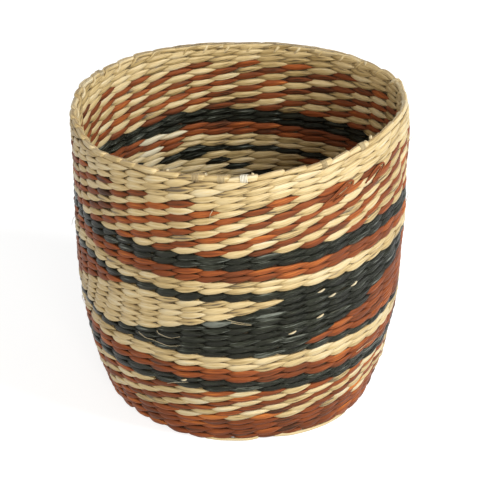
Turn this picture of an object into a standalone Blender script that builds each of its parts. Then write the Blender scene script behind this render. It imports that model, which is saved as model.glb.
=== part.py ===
"""Seagrass basket: an open, round, twined basket with coloured bands.

The wall is a sandwich. Flat stakes run out from a hub under the floor and up the wall.
Weft strands pass in front of them and behind them, course after course. Each coloured
band of courses is one ring outside the stakes, and from the wedges up it is one ring
inside them too. The wedges are slanted arcs, because their colours change one stake
further on at each course. The stake ends are folded over into the border.

Sizes are in metres. +Z is up, the basket stands on z = 0, and its front faces -Y.
"""

import math

import bmesh
import bpy
from mathutils import Vector

# Outer shape
HEIGHT = 0.222
RIM_RADIUS = 0.120
BELLY_SWELL = 0.0018
BELLY_BELOW_RIM = 0.044
FOOT_RADIUS = 0.0984
FOOT_FILLET = 0.008
FOOT_CURVE_POWER = 3.4
RIM_CURVE_POWER = 2.0

# How far hand weaving pushed the plan out of round at the rim
OVAL_STRETCH = 0.0042
OVAL_DIRECTION = math.radians(48.5)
OVAL_LOBES = 2
TREFOIL_STRETCH = 0.0039
TREFOIL_DIRECTION = math.radians(20.3)
TREFOIL_LOBES = 3
LEAN_LEFT = 0.0018
LEAN_BACK = 0.0034
OUT_OF_ROUND_POWER = 1.2

# Stakes
STAKE_COUNT = 42
STAKE_WIDTH = 0.0046
STAKE_THICKNESS = 0.0020
HUB_RADIUS = 0.038

# Weft. The grooves between ridges are a share of the strand's thickness deep. Most bands
# have a ridge for each pair of courses, and these, which show most, one for each course.
STRAND_THICKNESS = 0.0022
GROOVE_SHARE = 0.55
COURSES_PER_RIDGE = 2
FINE_BANDS = ("speckled_upper",)
CLEARANCE = 0.0003

# Border
BORDER_HEIGHT = 0.0062
BORDER_OVERHANG = 0.0004
BORDER_CROWN = 0.0022
BORDER_FOLD_DIP = 0.0005

# Panels that the wall's curve is divided into
WALL_PANELS = 4
FILLET_PANELS = 2
FOOT_PANEL_POWER = 1.35
BASE_EDGE_ON_FILLET_SHARE = 0.33
WELD_SHARE = 0.02
SHARP_ANGLE = math.radians(40)

# Colours and finish
NATURAL = (0.60, 0.49, 0.28)
SPECKLED = (0.42, 0.24, 0.12)
RUST = (0.35, 0.10, 0.035)
CHARCOAL = (0.028, 0.034, 0.031)
PITH = (0.50, 0.43, 0.26)
GRASS_ROUGHNESS = 0.62
DYED_ROUGHNESS = 0.5

# Bands of the wall from the foot up: name, courses, pitch share, colour. A share of 1
# is the usual pitch of the courses, and the weaver packed some bands closer than others.
BANDS = (
    ("rust_foot", 4, 1.05, RUST),
    ("speckled_lower", 6, 0.96, SPECKLED),
    ("black_lower", 2, 0.96, CHARCOAL),
    ("rust_lower", 2, 1.05, RUST),
    ("natural_lower", 2, 1.05, NATURAL),
    ("black_line_lower", 1, 0.96, CHARCOAL),
    ("wedge", 8, 1.0, None),
    ("black_line_upper", 1, 1.19, CHARCOAL),
    ("natural_upper", 2, 0.89, NATURAL),
    ("rust_upper", 2, 0.98, RUST),
    ("black_upper", 2, 1.04, CHARCOAL),
    ("speckled_upper", 8, 1.0, SPECKLED),
    ("natural_top", 3, 0.89, NATURAL),
)
# Arcs of the wedge zone's lowest course, counter-clockwise: name, stakes, colour
FIRST_WEDGE_STAKE = 20
WEDGES = (
    ("natural_wedge_left", 6, NATURAL),
    ("black_wedge_front", 8, CHARCOAL),
    ("rust_wedge_right", 7, RUST),
    ("natural_wedge_right", 6, NATURAL),
    ("black_wedge_back", 8, CHARCOAL),
    ("rust_wedge_left", 7, RUST),
)

STEP = 2 * math.pi / STAKE_COUNT
AGAINST_STAKE = STAKE_THICKNESS / 2 + CLEARANCE
HALF_WALL = AGAINST_STAKE + STRAND_THICKNESS
IN_GROOVE = HALF_WALL - STRAND_THICKNESS * GROOVE_SHARE
BELLY_RADIUS = RIM_RADIUS + BELLY_SWELL
BELLY_HEIGHT = HEIGHT - BELLY_BELOW_RIM
WALL_TOP = HEIGHT - BORDER_HEIGHT
PITCH_SHARES = [share for _, courses, share, _ in BANDS for _ in range(courses)]


def wall_radius(z):
    """Radius of the stakes' middle at height z, above the foot's curve."""
    if z >= BELLY_HEIGHT:
        rise_share = (z - BELLY_HEIGHT) / BELLY_BELOW_RIM
        drawn_in = BELLY_SWELL * rise_share**RIM_CURVE_POWER
    else:
        drop_share = (BELLY_HEIGHT - z) / (BELLY_HEIGHT - HALF_WALL)
        drawn_in = (BELLY_RADIUS - FOOT_RADIUS) * drop_share**FOOT_CURVE_POWER
    return BELLY_RADIUS - drawn_in - HALF_WALL


def wall_slope_at_foot():
    """Angle of the wall from the vertical where it meets the floor's level."""
    flare = (BELLY_RADIUS - FOOT_RADIUS) * FOOT_CURVE_POWER
    return math.atan(flare / (BELLY_HEIGHT - HALF_WALL))


def spine_points():
    """The stakes' middle line from the axis to the border, as (radius, height)."""
    slope = wall_slope_at_foot()
    turn = math.pi / 2 - slope
    tangent = FOOT_FILLET * math.tan(turn / 2)
    corner = wall_radius(HALF_WALL)
    points = [(0.0, HALF_WALL)]
    for panel in range(FILLET_PANELS + 1):
        angle = turn * panel / FILLET_PANELS
        radius = corner - tangent + FOOT_FILLET * math.sin(angle)
        height = HALF_WALL + FOOT_FILLET * (1 - math.cos(angle))
        points.append((radius, height))
    start = points[-1][1]
    for panel in range(1, WALL_PANELS + 1):
        height = start + (WALL_TOP - start) * (panel / WALL_PANELS) ** FOOT_PANEL_POWER
        points.append((wall_radius(height), height))
    return [Vector(point) for point in points]


def outward(direction):
    return Vector((direction.y, -direction.x))


class Spine:
    """The middle line with, at each corner, the mitre along which both faces turn."""

    def __init__(self):
        self.points = spine_points()
        runs = [b - a for a, b in zip(self.points, self.points[1:])]
        self.reach = [0.0]
        for run in runs:
            self.reach.append(self.reach[-1] + run.length)
        normals = [outward(run.normalized()) for run in runs]
        self.mitres = [normals[0]]
        for before, after in zip(normals, normals[1:]):
            middle = (before + after).normalized()
            self.mitres.append(middle / middle.dot(before))
        self.mitres.append(normals[-1])

    def at(self, along, depth):
        """The point this far along the line from the axis, and this far outside it."""
        last = len(self.points) - 2
        index = 0
        while index < last and self.reach[index + 1] < along:
            index += 1
        share = (along - self.reach[index]) / (self.reach[index + 1] - self.reach[index])
        low = self.points[index] + self.mitres[index] * depth
        high = self.points[index + 1] + self.mitres[index + 1] * depth
        return low.lerp(high, share)

    def corners_between(self, start, end):
        return [reach for reach in self.reach if start + CLEARANCE < reach < end - CLEARANCE]


SPINE = Spine()
FILLET_LENGTH = SPINE.reach[1 + FILLET_PANELS] - SPINE.reach[1]
FIRST_COURSE = SPINE.reach[1] + FILLET_LENGTH * BASE_EDGE_ON_FILLET_SHARE
COURSE_PITCH = (SPINE.reach[-1] - FIRST_COURSE) / sum(PITCH_SHARES)


def rim_shift(angle):
    """How far the rim lies from a true circle at this direction, as a vector."""
    oval = OVAL_STRETCH * math.cos(OVAL_LOBES * (angle - OVAL_DIRECTION))
    trefoil = TREFOIL_STRETCH * math.cos(TREFOIL_LOBES * (angle - TREFOIL_DIRECTION))
    outwards = Vector((math.cos(angle), math.sin(angle), 0)) * (oval + trefoil)
    return outwards + Vector((-LEAN_LEFT, LEAN_BACK, 0))


def pushed(point):
    """The point after weaving has pushed the round plan out of true.

    It moves with the flat facet between two neighbouring directions, so the stakes and
    the rings keep their clearance.
    """
    angle = math.atan2(point.y, point.x)
    station = math.floor(angle / STEP)
    middle = (station + 0.5) * STEP
    share = 0.5 + 0.5 * math.tan(angle - middle) / math.tan(STEP / 2)
    height_share = max(point.z / HEIGHT, 0.0) ** OUT_OF_ROUND_POWER
    shift = rim_shift(station * STEP).lerp(rim_shift((station + 1) * STEP), share)
    return point + shift * height_share


def material(name, colour, roughness):
    finish = bpy.data.materials.get(name) or bpy.data.materials.new(name)
    finish.use_nodes = True
    shader = finish.node_tree.nodes["Principled BSDF"]
    shader.inputs["Base Color"].default_value = (*colour, 1)
    shader.inputs["Roughness"].default_value = roughness
    shader.inputs["Metallic"].default_value = 0
    return finish


def finish_for(colour):
    names = {
        NATURAL: "natural_seagrass",
        SPECKLED: "mixed_seagrass",
        RUST: "rust_seagrass",
        CHARCOAL: "charcoal_seagrass",
        PITH: "stake_grass",
    }
    roughness = DYED_ROUGHNESS if colour in (RUST, CHARCOAL) else GRASS_ROUGHNESS
    return material(names[colour], colour, roughness)


def start_scene():
    """Clears the scene, and returns the basket's collection and its parent empty."""
    for old in list(bpy.data.objects):
        bpy.data.objects.remove(old, do_unlink=True)
    collection = bpy.data.collections.new("seagrass_basket")
    bpy.context.scene.collection.children.link(collection)
    root = bpy.data.objects.new("basket_origin", None)
    collection.objects.link(root)
    return collection, root


def add_piece(name, shape, colour, home):
    """Turns a bmesh into an object of the basket."""
    collection, root = home
    for vertex in shape.verts:
        vertex.co = pushed(vertex.co)
    bmesh.ops.recalc_face_normals(shape, faces=shape.faces)
    mesh = bpy.data.meshes.new(name)
    shape.to_mesh(mesh)
    shape.free()
    mesh.materials.append(finish_for(colour))
    mesh.shade_smooth()
    mesh.set_sharp_from_angle(angle=SHARP_ANGLE)
    piece = bpy.data.objects.new(name, mesh)
    collection.objects.link(piece)
    piece.parent = root
    return piece


def turned(outline, closed=True, steps=STAKE_COUNT):
    """An outline of (radius, height) points turned once about the basket's axis.

    An outline that isn't closed starts and ends on the axis.
    """
    shape = bmesh.new()
    verts = [shape.verts.new((point.x, 0, point.y)) for point in outline]
    following = verts[1:] + verts[:1] if closed else verts[1:]
    edges = [shape.edges.new(pair) for pair in zip(verts, following)]
    bmesh.ops.spin(
        shape,
        geom=[*verts, *edges],
        cent=(0, 0, 0),
        axis=(0, 0, 1),
        angle=2 * math.pi,
        steps=steps,
    )
    bmesh.ops.remove_doubles(shape, verts=shape.verts, dist=CLEARANCE * WELD_SHARE)
    return shape


def course_edge(course):
    """Length along the middle line from the axis to the foot of this course."""
    return FIRST_COURSE + COURSE_PITCH * sum(PITCH_SHARES[:course])


def ridged_outline(first, courses, ridges, side=1):
    """Section of a band with ridges; side is 1 outside the stakes and -1 inside them."""
    low = course_edge(first) + CLEARANCE / 2
    high = course_edge(first + courses) - CLEARANCE / 2
    front = []
    for half in range(2 * ridges + 1):
        depth = HALF_WALL if half % 2 else IN_GROOVE
        front.append(SPINE.at(low + (high - low) * half / (2 * ridges), side * depth))
    turns = [low, *SPINE.corners_between(low, high), high]
    return front + [SPINE.at(along, side * AGAINST_STAKE) for along in reversed(turns)]


def plain_outline(first, courses):
    """Section of a band inside the stakes, with the same bends as the stakes."""
    low = course_edge(first) + CLEARANCE / 2
    high = course_edge(first + courses) - CLEARANCE / 2
    turns = [low, *SPINE.corners_between(low, high), high]
    front = [SPINE.at(along, -HALF_WALL) for along in turns]
    return front + [SPINE.at(along, -AGAINST_STAKE) for along in reversed(turns)]


def around(station, along, depth):
    """A point of the wall in one stake's direction; station may lie between stakes."""
    section = SPINE.at(along, depth)
    whole = math.floor(station)
    share = station - whole
    low = Vector((math.cos(whole * STEP), math.sin(whole * STEP)))
    high = Vector((math.cos((whole + 1) * STEP), math.sin((whole + 1) * STEP)))
    direction = low.lerp(high, share)
    return Vector((section.x * direction.x, section.x * direction.y, section.y))


def add_grid(shape, rows):
    """Faces of one skin. rows are lists of points, and the vertices come back alike."""
    verts = [[shape.verts.new(point) for point in row] for row in rows]
    for low, high in zip(verts, verts[1:]):
        add_strip(shape, low, high)
    return verts


def add_strip(shape, low, high):
    for a, b, c, d in zip(low, low[1:], high[1:], high):
        shape.faces.new((a, b, c, d))


def wedge_arc(first_course, courses, first, stakes):
    """A slanted arc: the ends of each course lie a stake further on than those below."""
    edges = [course_edge(first_course + course) for course in range(courses + 1)]
    edges[0] += CLEARANCE / 2
    edges[-1] -= CLEARANCE / 2
    end_gap = CLEARANCE / (STEP * RIM_RADIUS)
    front = []
    back = []
    for course, along in enumerate(edges):
        stations = [first + course + stake for stake in range(stakes + 1)]
        stations[0] += end_gap
        stations[-1] -= end_gap
        rise = HALF_WALL if course % COURSES_PER_RIDGE else IN_GROOVE
        front.append([around(station, along, rise) for station in stations])
        back.append([around(station, along, AGAINST_STAKE) for station in stations])
    shape = bmesh.new()
    front = add_grid(shape, front)
    back = add_grid(shape, back)
    for row in (0, -1):
        add_strip(shape, front[row], back[row])
    for column in (0, -1):
        add_strip(shape, [row[column] for row in front], [row[column] for row in back])
    bmesh.ops.triangulate(shape, faces=shape.faces, quad_method="SHORT_EDGE")
    return shape


def add_wedges(first_course, courses, home):
    first = FIRST_WEDGE_STAKE
    for name, stakes, colour in WEDGES:
        add_piece(f"outer_{name}", wedge_arc(first_course, courses, first, stakes), colour, home)
        first += stakes


def add_wall(home):
    """The bands. Inside, the courses up to the top of the wedges are one ring."""
    first = 0
    above_wedges = False
    for name, courses, _, colour in BANDS:
        if colour is None:
            add_wedges(first, courses, home)
            ridges = round((first + courses) / COURSES_PER_RIDGE)
            lower_weft = turned(ridged_outline(0, first + courses, ridges, side=-1))
            add_piece("inner_lower_weft", lower_weft, NATURAL, home)
            above_wedges = True
        else:
            ridges = courses if name in FINE_BANDS else max(1, round(courses / COURSES_PER_RIDGE))
            band = turned(ridged_outline(first, courses, ridges))
            add_piece(f"outer_{name}", band, colour, home)
            if above_wedges:
                add_piece(f"inner_{name}", turned(plain_outline(first, courses)), colour, home)
        first += courses


def add_base(home):
    """The twined disc under the stakes, and the one that makes the floor over them."""
    edge = FIRST_COURSE - CLEARANCE / 2
    for name, side in (("base_underside", 1), ("base_floor", -1)):
        turns = [0.0, *SPINE.corners_between(0.0, edge), edge]
        front = [SPINE.at(along, side * HALF_WALL) for along in turns]
        back = [SPINE.at(along, side * AGAINST_STAKE) for along in reversed(turns)]
        add_piece(name, turned(front + back, closed=False), NATURAL, home)


def add_stake_frame(home):
    """Every stake from the border down the wall to the hub, where they cross and bind."""
    end = SPINE.reach[-1] - CLEARANCE
    turns = [HUB_RADIUS, *SPINE.corners_between(HUB_RADIUS, end), end]
    shape = bmesh.new()
    roots = []
    for stake in range(STAKE_COUNT):
        skins = []
        for depth in (STAKE_THICKNESS / 2, -STAKE_THICKNESS / 2):
            rows = []
            for along in turns:
                facet = 2 * SPINE.at(along, 0).x * math.sin(STEP / 2)
                half_share = STAKE_WIDTH / facet / 2
                sides = (stake + 0.5 - half_share, stake + 0.5 + half_share)
                rows.append([around(station, along, depth) for station in sides])
            skins.append(add_grid(shape, rows))
        outer, inner = skins
        add_strip(shape, outer[-1], inner[-1])
        for column in (0, 1):
            add_strip(shape, [row[column] for row in outer], [row[column] for row in inner])
        roots.append((outer[0], inner[0]))
    for skin in (0, 1):
        shape.faces.new([vertex for root in roots for vertex in root[skin]])
    for (outer, inner), (next_outer, next_inner) in zip(roots, roots[1:] + roots[:1]):
        shape.faces.new((outer[1], next_outer[0], next_inner[0], inner[1]))
    add_piece("stake_frame", shape, PITH, home)


def add_border(home):
    """The stake ends, folded over and laid along the rim, one beside the next."""
    middle = RIM_RADIUS - HALF_WALL
    half = HALF_WALL + BORDER_OVERHANG
    floor = WALL_TOP + CLEARANCE
    shoulder = HEIGHT - BORDER_CROWN
    outline = [
        Vector((middle - half, floor)),
        Vector((middle + half, floor)),
        Vector((middle + half, shoulder)),
        Vector((middle + half - BORDER_CROWN, HEIGHT)),
        Vector((middle - half + BORDER_CROWN, HEIGHT)),
        Vector((middle - half, shoulder)),
    ]
    shape = turned(outline, steps=2 * STAKE_COUNT)
    for vertex in shape.verts:
        half_turns = round(2 * math.atan2(vertex.co.y, vertex.co.x) / STEP)
        if half_turns % 2 == 0 and vertex.co.z > shoulder + BORDER_CROWN / 2:
            vertex.co.z -= BORDER_FOLD_DIP
    add_piece("folded_border", shape, NATURAL, home)


def build():
    home = start_scene()
    add_stake_frame(home)
    add_base(home)
    add_wall(home)
    add_border(home)


build()
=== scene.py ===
"""Looks of the seagrass basket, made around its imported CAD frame.

The basket is woven here as the weaver did it. Two strands wind round the stakes in one
spiral, from the hub up to the border, and cross between every two stakes. Each turn of the
spiral is a course and a piece of its own. The stakes stand between the strands, and their
ends are folded over into the border.

Lengths are in metres. A station is a direction round the basket, 42 to the turn, and it
grows counter-clockwise from +X. The front, at -Y, is station 31.5.
"""

import math

import bpy
import numpy as np
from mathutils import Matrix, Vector


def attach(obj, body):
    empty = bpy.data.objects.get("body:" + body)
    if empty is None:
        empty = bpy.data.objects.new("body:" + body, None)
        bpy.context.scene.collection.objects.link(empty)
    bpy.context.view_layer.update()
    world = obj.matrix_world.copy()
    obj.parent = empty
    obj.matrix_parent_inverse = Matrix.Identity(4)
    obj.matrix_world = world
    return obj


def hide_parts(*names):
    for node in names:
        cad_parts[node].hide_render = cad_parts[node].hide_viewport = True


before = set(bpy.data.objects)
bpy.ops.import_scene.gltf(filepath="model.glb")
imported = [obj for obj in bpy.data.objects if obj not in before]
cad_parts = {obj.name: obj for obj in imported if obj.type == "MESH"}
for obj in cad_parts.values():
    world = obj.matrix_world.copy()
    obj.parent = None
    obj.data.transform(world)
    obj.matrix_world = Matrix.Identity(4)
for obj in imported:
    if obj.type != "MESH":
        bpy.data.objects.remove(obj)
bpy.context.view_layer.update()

# The CAD model's shape, in the names of its source
HEIGHT = 0.222
RIM_RADIUS = 0.120
BELLY_SWELL = 0.0018
BELLY_BELOW_RIM = 0.044
FOOT_RADIUS = 0.0984
FOOT_FILLET = 0.008
FOOT_CURVE_POWER = 3.4
RIM_CURVE_POWER = 2.0
OVAL_STRETCH = 0.0042
OVAL_DIRECTION = math.radians(48.5)
OVAL_LOBES = 2
TREFOIL_STRETCH = 0.0039
TREFOIL_DIRECTION = math.radians(20.3)
TREFOIL_LOBES = 3
LEAN = (-0.0018, 0.0034)
OUT_OF_ROUND_POWER = 1.2
STAKE_THICKNESS = 0.0020
STRAND_THICKNESS = 0.0022
CLEARANCE = 0.0003
BORDER_HEIGHT = 0.0062
BASE_EDGE_ON_FILLET_SHARE = 0.33

STATIONS = 42
STEP = 2 * math.pi / STATIONS
HALF_WALL = STAKE_THICKNESS / 2 + CLEARANCE + STRAND_THICKNESS
BELLY_RADIUS = RIM_RADIUS + BELLY_SWELL
BELLY_HEIGHT = HEIGHT - BELLY_BELOW_RIM
WALL_TOP = HEIGHT - BORDER_HEIGHT
# Points of the stakes' middle line
FLAT_SAMPLES = 60
CURVE_SAMPLES = 24
WALL_SAMPLES = 240

# Bands of the wall from the foot up: name, courses, pitch share
BANDS = (
    ("rust_foot", 4, 1.05),
    ("speckled_lower", 6, 0.96),
    ("black_lower", 2, 0.96),
    ("rust_lower", 2, 1.05),
    ("natural_lower", 2, 1.05),
    ("black_line_lower", 1, 0.96),
    ("wedge", 8, 1.0),
    ("black_line_upper", 1, 1.19),
    ("natural_upper", 2, 0.89),
    ("rust_upper", 2, 0.98),
    ("black_upper", 2, 1.04),
    ("speckled_upper", 8, 1.0),
    ("natural_top", 3, 0.89),
)
BAND_OF_COURSE = [name for name, courses, _ in BANDS for _ in range(courses)]
PITCH_SHARES = [share for _, courses, share in BANDS for _ in range(courses)]
WALL_COURSES = len(PITCH_SHARES)
USUAL_PITCH = 0.00505
TOP_STRETCH = 0.0011
FIRST_WEDGE_COURSE = BAND_OF_COURSE.index("wedge")
# Courses past the wall's top that the spiral may climb to, under the border
OVER_COURSES = 2

# The base: paired stakes near the hub, single ones from the split to the foot
HUB_RADIUS = 0.029
BASE_COURSES = 13
PAIRED_COURSES = 5

# The spiral. It starts at a station at the back, and climbs one course on its way round,
# most of it on the right. The climb is in courses.
START_STATION = 13.2
START_WANDER = 0.4
WANDER_RATE = 2.4
CLIMB_STATIONS = (11.5, 13.2, 17, 23, 27, 31.5, 36, 40, 44, 47, 50, 53.5, 55.2, 57)
CLIMBS = (0, 0.2, 0.2, 0.15, 0.05, -0.12, -0.3, -0.28, 0.2, 0.65, 0.9, 1.0, 1.2, 1.2)
# How far the courses are pushed up or down to the right of the front
PUSHED_STATION = 36
PUSHED_WIDTH = 4
PUSHED_COURSES = (4, 12, 20, 28, 36, 43)
PUSHES = (0, -0.25, 0, 0.22, 0.08, 0)
# Where the courses stop dipping, counted down from the wall's top
LEVEL_COURSES = (6, 1)
# Where the weft gets thinner under the border, counted up from the wall's top
HIDDEN_COURSES = (0.2, 1.2)
HIDDEN_THINNER = 0.45

# How the hand left the wall uneven. The rim's lift and spread die out down the wall.
UNEVEN_STATIONS = (0, 3, 7, 13, 17, 20, 22, 24, 25.4, 26.5, 27.4, 33, 35, 37, 42)
RIM_LIFTS = (
    *(0, 0.0006, 0.0012, 0.0010, 0.0022, 0.0010, -0.0022, -0.0042),
    *(-0.0026, -0.0014, 0, 0, -0.0012, 0, 0),
)
RIM_SPREADS = (
    *(0.0018, 0.0009, 0, 0, 0.0008, 0.0025, 0.0030, 0.0019),
    *(0.0008, 0, 0, 0, 0, 0.0008, 0.0018),
)
UNEVEN_FROM = 0.140
RISE_LIMIT = 1.1
FOOT_STATIONS = (0, 26, 28, 29, 30, 31, 33, 38, 42)
FOOT_SWELLS = (0.0010, 0.0010, 0.0020, 0.0032, 0.0028, 0.0017, 0.0012, 0.0024, 0.0010)
FOOT_SWELL_LENGTH = 0.005
WAVE_HEIGHT = 0.0003
WAVE_DEPTH = 0.0004
# Small waves up and down, and in and out: lobes round the basket, radians for each metre
# up the wall, and radians at the start
WAVES = ((5, 70, 0), (11, -120, 2))
DENTS = ((7, -45, 1), (13, 90, 0))

# Lens spacing, in stations, at these stations, at the foot and in the upper wall, and the
# courses between which it changes
SPACING_STATIONS = (13.2, 20.0, 24.0, 30.0, 34.0, 39.0, 46.0, 55.2)
SPACING_FOOT = (1.18, 1.18, 1.18, 1.18, 1.12, 1.06, 1.15, 1.18)
SPACING_TOP = (1.03, 0.95, 0.90, 0.92, 1.12, 1.15, 1.05, 1.03)
SPACING_COURSES = (10, 22)
# Station of the lens that faces the front, for these courses
FRONT_LENS_COURSES = (0, 4, 6, 9, 32, 36)
FRONT_LENS_STATIONS = (32.9, 32.5, 31.9, 31.7, 31.5, 31.2)
COURSE_SAMPLES = 2400
# Stations over which a course's last lenses are eased into the next course
EASED_STATIONS = 8

# Strand: the core that winds round the stakes
CORE_HALF_WIDTH = 0.0022
CORE_HALF_DEPTH = 0.0010
CORE_BULGE = 0.0015
CORE_RISE = 0.0014
CORE_THIN_SHARE = 0.75
# Tone of the core for a natural, a rust and a black strand; it is low, as painted shade in the gaps
# between the leaves
CORE_TONES_WITH_PAINTED_SHADE = (0.1, -0.4, -0.4)
LENS_JITTER = 0.05
COURSE_JITTER = 0.04
RINGS_PER_LENS = 6
CORE_POINTS = 8
CORE_CELLS = 6

# Leaf: the flat of the strand over one stake, from its tucked end to its pointed one,
# which lies on the next leaf. Its ends are counted in lenses from the crossing before it.
LEAF_ENDS = (-0.18, 1.22)
# For a natural, a rust and a black strand
LEAF_HALF_WIDTHS = (0.00294, 0.00268, 0.00272)
LEAF_HALF_DEPTH = 0.0015
LEAF_RISE = 0.0018
LEAF_TUCK = 0.0019
LEAF_TUCK_ENDS = 0.5
LEAF_TIP_DROP = 0.0004
LEAF_TUCKED_POWER = 0.7
LEAF_POINTED_POWER = 0.95
LEAF_DEPTH_POWER = 0.6
LEAF_RINGS = 16
LEAF_ANGLES = (0.12, math.pi - 0.06)
LEAF_POINTS = 12
LEAF_CELL_COLUMNS = 6
# How much leaves differ from each other
LEAF_END_JITTER = 0.04
LEAF_WIDTH_JITTER = 0.06
LEAF_DEPTH_JITTER = 0.08
LEAF_RISE_JITTER = 0.00016
# Lengthwise folds, and how far they turn round the leaf on their way
LEAF_FOLDS = 3
LEAF_FOLD_SHARE = 0.16
LEAF_TWIST = 1.2
# Tones: their middle, spread and limits, and how much darker the tucked end is, as painted shade
# under the leaf before it
LEAF_TONE = 0.46
LEAF_TONE_SPREAD = 0.15
LEAF_TONE_LIMITS = (0.2, 0.68)
TUCKED_PAINTED_SHADE = 0.25
TUCKED_SHARE = 0.3
# How much darker the leaves inside are, as painted shade of the basket's inside
INSIDE_PAINTED_SHADE = -0.08
BLACK_TONE_SPREAD = 0.08

# Seeds of the random draws
LENS_SEED = 500
LEAF_SEED = 1000
STAKE_SEED = 77
LAP_SEED = 7
HUB_SEED = 5

NATURAL, RUST, BLACK = range(3)


def new_object(name, data):
    made = bpy.data.objects.new(name, data)
    bpy.context.scene.collection.objects.link(made)
    return made


def smooth_share(value, start, end):
    """0 before start, 1 after end, and an even turn between them."""
    share = np.clip((value - start) / (end - start), 0, 1)
    return share * share * (3 - 2 * share)


def ring_angles(points):
    """Angles of the points round a ring."""
    return np.arange(points) / points * 2 * math.pi


def ripple(waves, angle, along):
    """The sum of a few sine waves that run over the wall."""
    return sum(np.sin(lobes * angle + rate * along + start) for lobes, rate, start in waves)


def wander(random, count, low, high, size):
    """A smooth random line through one value for each lens, between low and high."""
    first = math.floor(low) - 1
    values = random.normal(0, 1, math.ceil(high) - first + 3)
    place = count - first - 0.5
    whole = np.floor(place).astype(int)
    share = smooth_share(place - whole, 0, 1)
    return size * (values[whole] * (1 - share) + values[whole + 1] * share)


# The wall's middle line


def wall_radius(z):
    """Radius of the stakes' middle at height z, above the foot's curve."""
    rise_share = np.clip(z - BELLY_HEIGHT, 0, None) / BELLY_BELOW_RIM
    drop_share = np.clip(BELLY_HEIGHT - z, 0, None) / (BELLY_HEIGHT - HALF_WALL)
    drawn_in = BELLY_SWELL * rise_share**RIM_CURVE_POWER
    drawn_in = drawn_in + (BELLY_RADIUS - FOOT_RADIUS) * drop_share**FOOT_CURVE_POWER
    return BELLY_RADIUS - drawn_in - HALF_WALL


class Spine:
    """The stakes' middle line, from the axis along the base and up the wall."""

    def __init__(self):
        flare = (BELLY_RADIUS - FOOT_RADIUS) * FOOT_CURVE_POWER
        turn = math.pi / 2 - math.atan(flare / (BELLY_HEIGHT - HALF_WALL))
        tangent = FOOT_FILLET * math.tan(turn / 2)
        start = float(wall_radius(HALF_WALL)) - tangent
        angles = np.linspace(0, turn, CURVE_SAMPLES)[1:]
        arc_radius = start + FOOT_FILLET * np.sin(angles)
        arc_height = HALF_WALL + FOOT_FILLET * (1 - np.cos(angles))
        heights = np.linspace(arc_height[-1], HEIGHT, WALL_SAMPLES)[1:]
        flat = np.linspace(0, start, FLAT_SAMPLES)
        self.radius = np.concatenate([flat, arc_radius, wall_radius(heights)])
        self.height = np.concatenate([flat * 0 + HALF_WALL, arc_height, heights])
        steps = np.hypot(np.diff(self.radius), np.diff(self.height))
        self.reach = np.concatenate([[0], np.cumsum(steps)])
        self.out_r = np.gradient(self.height, self.reach)
        self.out_z = -np.gradient(self.radius, self.reach)
        self.first_course = start + FOOT_FILLET * turn * BASE_EDGE_ON_FILLET_SHARE
        self.wall_end = float(np.interp(WALL_TOP, self.height, self.reach))
        self.uneven_from = float(np.interp(UNEVEN_FROM, self.height, self.reach))
        self.foot_middle = start + FOOT_FILLET * turn / 2

    def at(self, along, depth):
        """Radius and height this far along the line, and this far outside it."""
        radius, height, out_r, out_z = (
            np.interp(along, self.reach, values)
            for values in (self.radius, self.height, self.out_r, self.out_z)
        )
        return radius + depth * out_r, height + depth * out_z


SPINE = Spine()


def uneven(station, along, depth):
    """Shifts a place on the wall as the weaver's hand did."""
    turned = np.mod(station, STATIONS)
    rise = np.clip((along - SPINE.uneven_from) / (SPINE.wall_end - SPINE.uneven_from), 0, RISE_LIMIT)
    foot = np.exp(-(((along - SPINE.foot_middle) / FOOT_SWELL_LENGTH) ** 2))
    angle = station * STEP
    wave = ripple(WAVES, angle, along)
    dent = ripple(DENTS, angle, along)
    flat = np.clip((along - SPINE.foot_middle) / BELLY_BELOW_RIM, 0, 1)
    lift = rise**2 * np.interp(turned, UNEVEN_STATIONS, RIM_LIFTS) + WAVE_HEIGHT * wave * flat
    spread = rise**2 * np.interp(turned, UNEVEN_STATIONS, RIM_SPREADS)
    swell = foot * np.interp(turned, FOOT_STATIONS, FOOT_SWELLS)
    return along + lift, depth + spread + swell + WAVE_DEPTH * dent * flat


def placed(station, along, depth):
    """Points of the basket, after the plan has been pushed out of round."""
    along, depth = uneven(station, along, depth)
    radius, height = SPINE.at(along, depth)
    height = np.maximum(height, 0)
    angle = station * STEP
    lobes = OVAL_STRETCH * np.cos(OVAL_LOBES * (angle - OVAL_DIRECTION))
    lobes = lobes + TREFOIL_STRETCH * np.cos(TREFOIL_LOBES * (angle - TREFOIL_DIRECTION))
    share = (np.clip(height, 0, None) / HEIGHT) ** OUT_OF_ROUND_POWER
    radius = radius + lobes * share
    x = radius * np.cos(angle) + LEAN[0] * share
    y = radius * np.sin(angle) + LEAN[1] * share
    return np.stack([x, y, height], -1)


# Where each course runs


def course_edges():
    """Reach of the lower edge of every course, from the innermost of the base up."""
    shares = np.array(PITCH_SHARES)
    pitch = (SPINE.wall_end - SPINE.first_course) / shares.sum()
    wall = SPINE.first_course + pitch * np.concatenate([[0], np.cumsum(shares)])
    base = np.linspace(HUB_RADIUS, SPINE.first_course, BASE_COURSES + 1)[:-1]
    top_courses = BANDS[-1][1]
    wall[-top_courses:] += TOP_STRETCH * np.arange(1, top_courses + 1) / top_courses
    over = wall[-1] + pitch * np.arange(1, OVER_COURSES + 1)
    return np.concatenate([base, wall, over])


EDGES = course_edges()
EDGE_INDEX = np.arange(len(EDGES)) - BASE_COURSES


def course_reach(course):
    return np.interp(course, EDGE_INDEX, EDGES)


def climb(station, course):
    """Share of a course that the spiral has climbed at this station."""
    pushed = np.interp(course, PUSHED_COURSES, PUSHES)
    beside = (station - PUSHED_STATION) / PUSHED_WIDTH
    return np.interp(station, CLIMB_STATIONS, CLIMBS) + pushed * np.exp(-(beside**2))


def start_of(course):
    """Station where a course starts; the weaver began each a little to one side."""
    return START_STATION + START_WANDER * math.sin(WANDER_RATE * course)


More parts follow.
